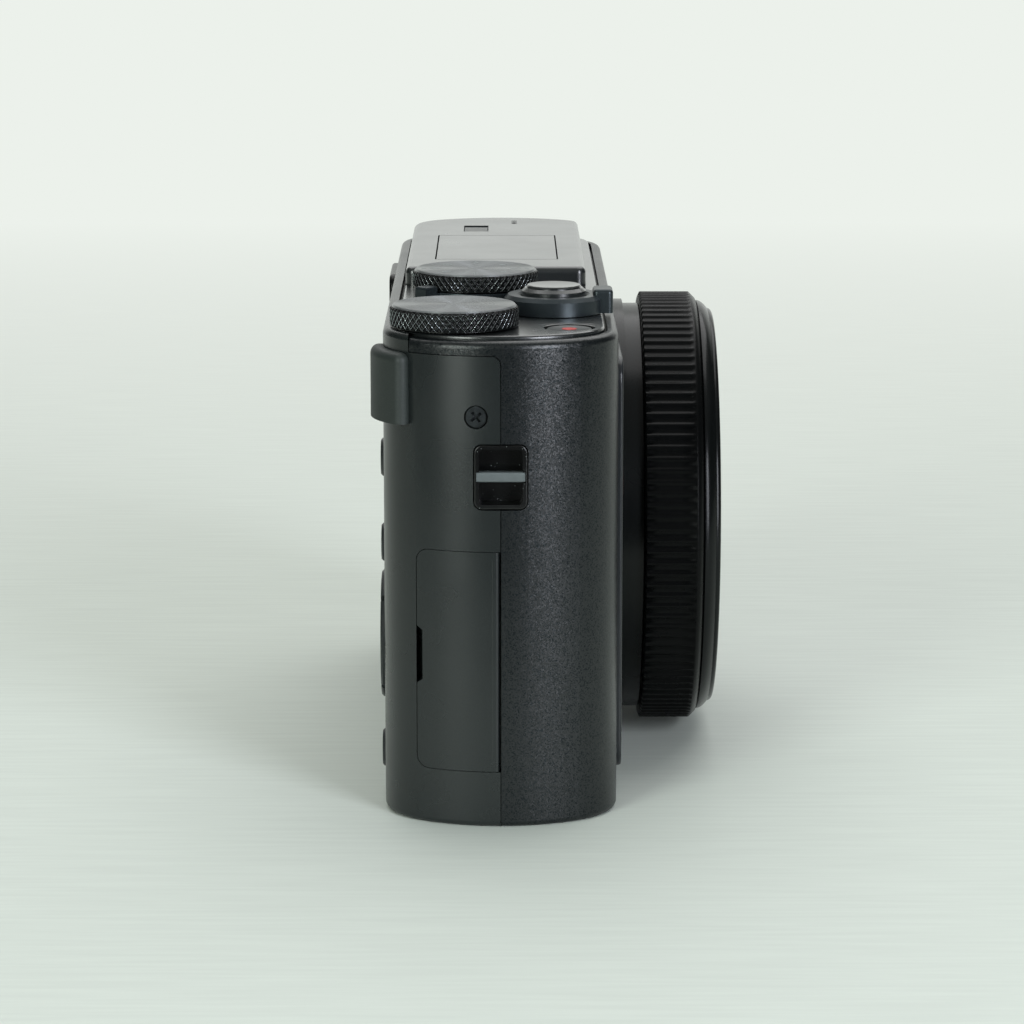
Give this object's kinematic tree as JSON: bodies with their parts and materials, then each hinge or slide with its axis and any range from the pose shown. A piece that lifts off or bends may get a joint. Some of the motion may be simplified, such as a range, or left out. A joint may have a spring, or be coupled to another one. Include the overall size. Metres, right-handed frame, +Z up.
{
  "type": "compact camera",
  "caption": "Compact camera with a telescoping zoom lens and barrier, pop-up flash, eye-level finder, rear screen, control dials and hinged port and battery doors.",
  "frame": {"origin": "mouth of the tripod socket in the base, under the lens axis", "axes": "+Z up, -Y the way the lens looks, -X towards the grip end"},
  "size_m": [0.113, 0.0461, 0.0669],
  "materials": {
    "alloy_black": "satin black paint with fine metal flecks",
    "rear_plastic": "matte charcoal moulding",
    "top_black": "satin black paint",
    "trim_plate": "dark bluish satin",
    "dial_metal": "black anodised, turned and knurled",
    "ring_metal": "black anodised with straight ribs",
    "lens_black": "satin black moulding",
    "bezel_black": "semi-gloss black",
    "blade_steel": "blackened thin sheet",
    "optical_glass": "coated and polished",
    "screen_glass": "dark cover glass",
    "lamp_lens": "dark red tinted window",
    "flash_lens": "ribbed clear moulding",
    "grip_rubber": "fine grained",
    "lug_insert": "glossy black",
    "bar_steel": "satin",
    "screw_steel": "blackened",
    "socket_steel": "plain turned",
    "key_plastic": "satin black keys",
    "inner_steel": "pressed sheet",
    "circuit_board": "solder masked laminate",
    "inner_black": "dull black moulding",
    "battery_case": "plain grey wrap"
  },
  "bodies": {
    "camera_body": {"front_shell": "alloy_black", "rear_shell": "rear_plastic", "top_plate": "top_black", "top_housing": "top_black", "base_plate": "rear_plastic", "front_plate_grip": "trim_plate", "front_plate_far": "trim_plate", "lamp_window": "lamp_lens", "lens_base": "lens_black", "lens_bezel": "bezel_black", "thumb_rest": "grip_rubber", "strap_lug_grip": "lug_insert", "strap_lug_far": "lug_insert", "strap_bars": "bar_steel", "hinge_pins": "bar_steel", "port_sockets": "socket_steel", "battery": "battery_case", "memory_card": "inner_black", "battery_bay": "inner_black", "screen_glass": "screen_glass", "screen_module": "inner_black", "eyepiece_frame": "lens_black", "eyepiece_glass": "optical_glass", "finder_module": "inner_black", "chassis": "inner_steel", "main_board": "circuit_board", "sensor_module": "inner_black", "control_boards": "circuit_board", "tripod_socket": "socket_steel", "case_screws": "screw_steel"},
    "control_ring": {"control_ring": "ring_metal"},
    "outer_barrel": {"outer_barrel": "lens_black", "shutter_unit": "inner_black"},
    "inner_barrel": {"inner_barrel": "lens_black", "front_element": "optical_glass"},
    "blade_upper": {"barrier_blade_upper": "blade_steel"},
    "blade_lower": {"barrier_blade_lower": "blade_steel"},
    "focus_group": {"focus_group": "inner_black"},
    "thumb_dial": {"thumb_dial": "dial_metal"},
    "mode_dial": {"mode_dial": "dial_metal"},
    "power_lever": {"power_lever": "dial_metal"},
    "zoom_lever": {"zoom_lever": "dial_metal"},
    "shutter_button": {"shutter_button": "dial_metal"},
    "movie_button": {"movie_button": "key_plastic"},
    "rear_button_upper": {"rear_button_upper": "key_plastic"},
    "rear_button_middle": {"rear_button_middle": "key_plastic"},
    "rear_button_lower": {"rear_button_lower": "key_plastic"},
    "pad_key_left": {"pad_key_left": "key_plastic"},
    "pad_key_down": {"pad_key_down": "key_plastic"},
    "pad_key_right": {"pad_key_right": "key_plastic"},
    "pad_key_up": {"pad_key_up": "key_plastic"},
    "pad_centre_button": {"pad_centre_button": "key_plastic"},
    "port_door": {"port_door": "rear_plastic"},
    "battery_door": {"battery_door": "rear_plastic"},
    "battery_latch": {"battery_latch": "key_plastic"},
    "flash_arm": {"flash_arm": "screw_steel"},
    "flash_head": {"flash_head": "top_black", "flash_window": "flash_lens"},
    "flash_release": {"flash_release": "key_plastic"},
    "diopter_wheel": {"diopter_wheel": "key_plastic"}
  },
  "joints": [
    {"name": "control_ring_turn", "type": "hinge", "parent": "camera_body", "child": "control_ring", "pos_m": [0, -0.0232, 0.0308], "axis": [0, -1, 0], "continuous": true},
    {"name": "outer_barrel_slide", "type": "slide", "parent": "camera_body", "child": "outer_barrel", "axis": [0, -1, 0], "range_m": [0, 0.018]},
    {"name": "inner_barrel_slide", "type": "slide", "parent": "outer_barrel", "child": "inner_barrel", "axis": [0, -1, 0], "range_m": [0, 0.016]},
    {"name": "blade_upper_swing", "type": "hinge", "parent": "inner_barrel", "child": "blade_upper", "pos_m": [-0.0186, -0.02805, 0.0308], "axis": [0, -1, 0], "range_deg": [0, 31.8]},
    {"name": "blade_lower_swing", "type": "hinge", "parent": "inner_barrel", "child": "blade_lower", "pos_m": [0.0186, -0.02805, 0.0308], "axis": [0, -1, 0], "range_deg": [0, 31.8]},
    {"name": "focus_slide", "type": "slide", "parent": "camera_body", "child": "focus_group", "axis": [0, 1, 0], "range_m": [-0.001, 0.0015]},
    {"name": "thumb_dial_turn", "type": "hinge", "parent": "camera_body", "child": "thumb_dial", "pos_m": [-0.0473, 0.0059, 0.0645], "axis": [0, 0, 1], "continuous": true},
    {"name": "mode_dial_turn", "type": "hinge", "parent": "camera_body", "child": "mode_dial", "pos_m": [-0.02, 0.0034, 0.0657], "axis": [0, 0, 1], "continuous": true},
    {"name": "power_lever_turn", "type": "hinge", "parent": "camera_body", "child": "power_lever", "pos_m": [-0.02, 0.0034, 0.0637], "axis": [0, 0, -1], "range_deg": [0, 30]},
    {"name": "zoom_lever_turn", "type": "hinge", "parent": "camera_body", "child": "zoom_lever", "pos_m": [-0.034, -0.0069, 0.0641], "axis": [0, 0, 1], "range_deg": [-28, 28], "stiffness_Nm_per_rad": 0.02},
    {"name": "shutter_button_press", "type": "slide", "parent": "camera_body", "child": "shutter_button", "axis": [0, 0, -1], "range_m": [0, 0.0008], "stiffness_N_per_m": 1000},
    {"name": "movie_button_press", "type": "slide", "parent": "camera_body", "child": "movie_button", "axis": [0, 0, -1], "range_m": [0, 0.0004], "stiffness_N_per_m": 800},
    {"name": "rear_button_upper_press", "type": "slide", "parent": "camera_body", "child": "rear_button_upper", "axis": [0, -1, 0], "range_m": [0, 0.0005], "stiffness_N_per_m": 800},
    {"name": "rear_button_middle_press", "type": "slide", "parent": "camera_body", "child": "rear_button_middle", "axis": [0, -1, 0], "range_m": [0, 0.0005], "stiffness_N_per_m": 800},
    {"name": "rear_button_lower_press", "type": "slide", "parent": "camera_body", "child": "rear_button_lower", "axis": [0, -1, 0], "range_m": [0, 0.0005], "stiffness_N_per_m": 800},
    {"name": "pad_key_left_press", "type": "slide", "parent": "camera_body", "child": "pad_key_left", "axis": [0, -1, 0], "range_m": [0, 0.0004], "stiffness_N_per_m": 800},
    {"name": "pad_key_down_press", "type": "slide", "parent": "camera_body", "child": "pad_key_down", "axis": [0, -1, 0], "range_m": [0, 0.0004], "stiffness_N_per_m": 800},
    {"name": "pad_key_right_press", "type": "slide", "parent": "camera_body", "child": "pad_key_right", "axis": [0, -1, 0], "range_m": [0, 0.0004], "stiffness_N_per_m": 800},
    {"name": "pad_key_up_press", "type": "slide", "parent": "camera_body", "child": "pad_key_up", "axis": [0, -1, 0], "range_m": [0, 0.0004], "stiffness_N_per_m": 800},
    {"name": "pad_centre_press", "type": "slide", "parent": "camera_body", "child": "pad_centre_button", "axis": [0, -1, 0], "range_m": [0, 0.0004], "stiffness_N_per_m": 800},
    {"name": "port_door_swing", "type": "hinge", "parent": "camera_body", "child": "port_door", "pos_m": [-0.0572, 0.0009, 0.0215], "axis": [0, 0, 1], "range_deg": [0, 95]},
    {"name": "battery_door_swing", "type": "hinge", "parent": "camera_body", "child": "battery_door", "pos_m": [-0.027, -0.005, 0.0008], "axis": [0, -1, 0], "range_deg": [0, 95]},
    {"name": "battery_latch_slide", "type": "slide", "parent": "battery_door", "child": "battery_latch", "axis": [1, 0, 0], "range_m": [0, 0.0025]},
    {"name": "flash_arm_swing", "type": "hinge", "parent": "camera_body", "child": "flash_arm", "pos_m": [0.01485, 0.0074, 0.0609], "axis": [-1, 0, 0], "range_deg": [0, 60]},
    {"name": "flash_head_swing", "type": "hinge", "parent": "flash_arm", "child": "flash_head", "pos_m": [0.01485, -0.0026, 0.0609], "axis": [-1, 0, 0], "range_deg": [-60, 0]},
    {"name": "flash_release_slide", "type": "slide", "parent": "camera_body", "child": "flash_release", "axis": [1, 0, 0], "range_m": [0, 0.0025], "stiffness_N_per_m": 200},
    {"name": "diopter_turn", "type": "hinge", "parent": "camera_body", "child": "diopter_wheel", "pos_m": [0.0456, 0.0117, 0.055], "axis": [0, 0, 1], "range_deg": [-150, 150]}
  ],
  "couplings": [
    {"joint": "inner_barrel_slide", "follows": "outer_barrel_slide", "ratio": 0.8888},
    {"joint": "blade_upper_swing", "follows": "outer_barrel_slide", "rad_per_m": 30.83},
    {"joint": "blade_lower_swing", "follows": "outer_barrel_slide", "rad_per_m": 30.83},
    {"joint": "flash_head_swing", "follows": "flash_arm_swing", "ratio": -1}
  ]
}
